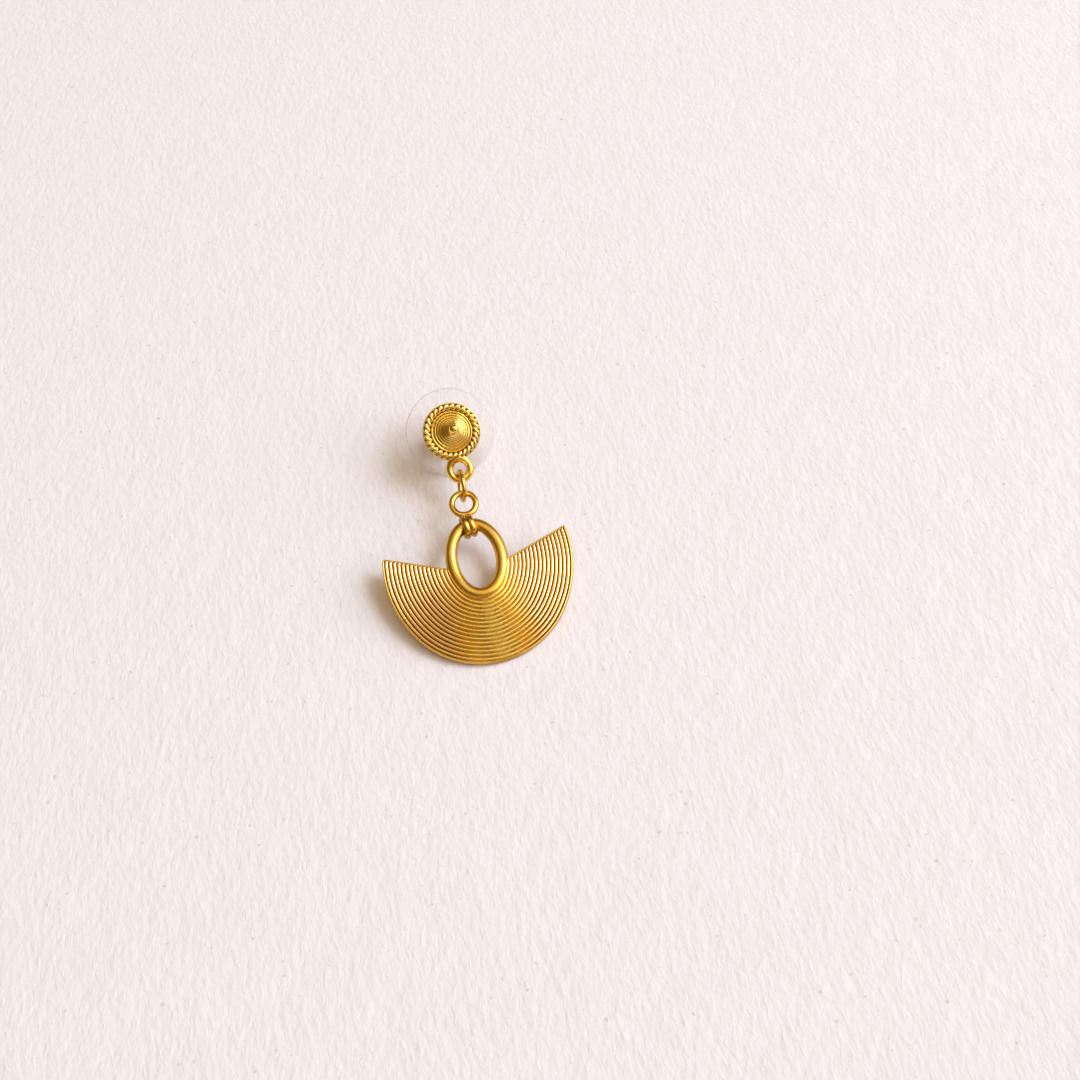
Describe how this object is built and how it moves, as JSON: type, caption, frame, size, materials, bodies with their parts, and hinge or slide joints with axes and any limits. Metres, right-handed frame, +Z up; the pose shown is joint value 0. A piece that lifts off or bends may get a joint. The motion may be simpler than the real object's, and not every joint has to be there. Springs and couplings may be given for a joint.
{
  "type": "fan earring",
  "caption": "Drop earring lying on a table: roped round stud with post and clear clutch, small links, a double bail, an oval ring and a ridged fan.",
  "frame": {"origin": "on the table, under the middle of the laid earring's bounding box", "axes": "+Y from the fan's foot towards the stud, +Z up from the table, +X across the fan"},
  "size_m": [0.0224, 0.035, 0.0104],
  "materials": {
    "stud_gold": "satin yellow gold with darkened grooves",
    "fan_gold": "satin yellow gold, bright on the ridges and dark between them",
    "link_gold": "softly polished yellow gold",
    "barrel_gold": "polished yellow gold",
    "clear_plastic": "clear, glossy"
  },
  "bodies": {
    "earring": {"stud": "stud_gold", "jump_ring": "link_gold", "bail_ring": "link_gold", "fan_drop": "fan_gold"},
    "clutch": {"clutch_disc": "clear_plastic", "clutch_barrel": "barrel_gold"}
  },
  "joints": [
    {"name": "clutch_slide", "type": "slide", "parent": "earring", "child": "clutch", "axis": [0, 0.5698, -0.8218], "range_m": [-0.0035, 0.0038]}
  ]
}
